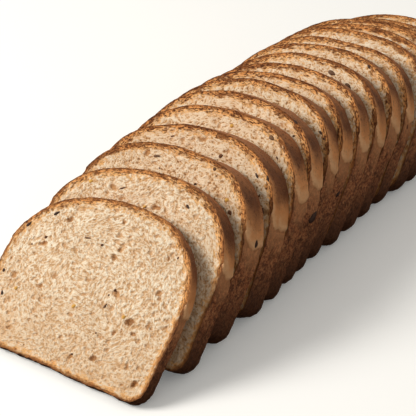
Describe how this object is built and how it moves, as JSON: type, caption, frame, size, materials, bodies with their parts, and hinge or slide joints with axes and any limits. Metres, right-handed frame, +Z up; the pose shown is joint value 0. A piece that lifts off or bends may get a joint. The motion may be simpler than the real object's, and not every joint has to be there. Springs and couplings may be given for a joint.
{
  "type": "sliced multigrain bread loaf",
  "caption": "Sliced multigrain tin loaf with a domed brown crust and a pale open crumb, its thin slices leaning back in an overlapping row.",
  "frame": {"origin": "middle of the loaf's bounding box, on the surface that the slices stand on", "axes": "+Z up, +Y along the row from the front slice to the heel, +X to the right of someone who faces the front slice's cut face"},
  "size_m": [0.1244, 0.3922, 0.0867],
  "materials": {
    "bread": "soft matte crumb with fine uneven holes, a browned rim and dark grains",
    "crust": "matte baked crust, dark brown on the dome and mottled below it",
    "grain": "dark seeds and pale cracked grains with a low sheen"
  },
  "bodies": {
    "root": {"slice_01": "bread", "slice_02": "bread", "slice_03": "bread", "slice_04": "bread", "slice_05": "bread", "slice_06": "bread", "slice_07": "bread", "slice_08": "bread", "slice_09": "bread", "slice_10": "bread", "slice_11": "bread", "slice_12": "bread", "slice_13": "bread", "slice_14": "bread", "slice_15": "bread", "slice_16": "bread", "slice_17": "bread", "heel": "crust"}
  },
  "joints": []
}
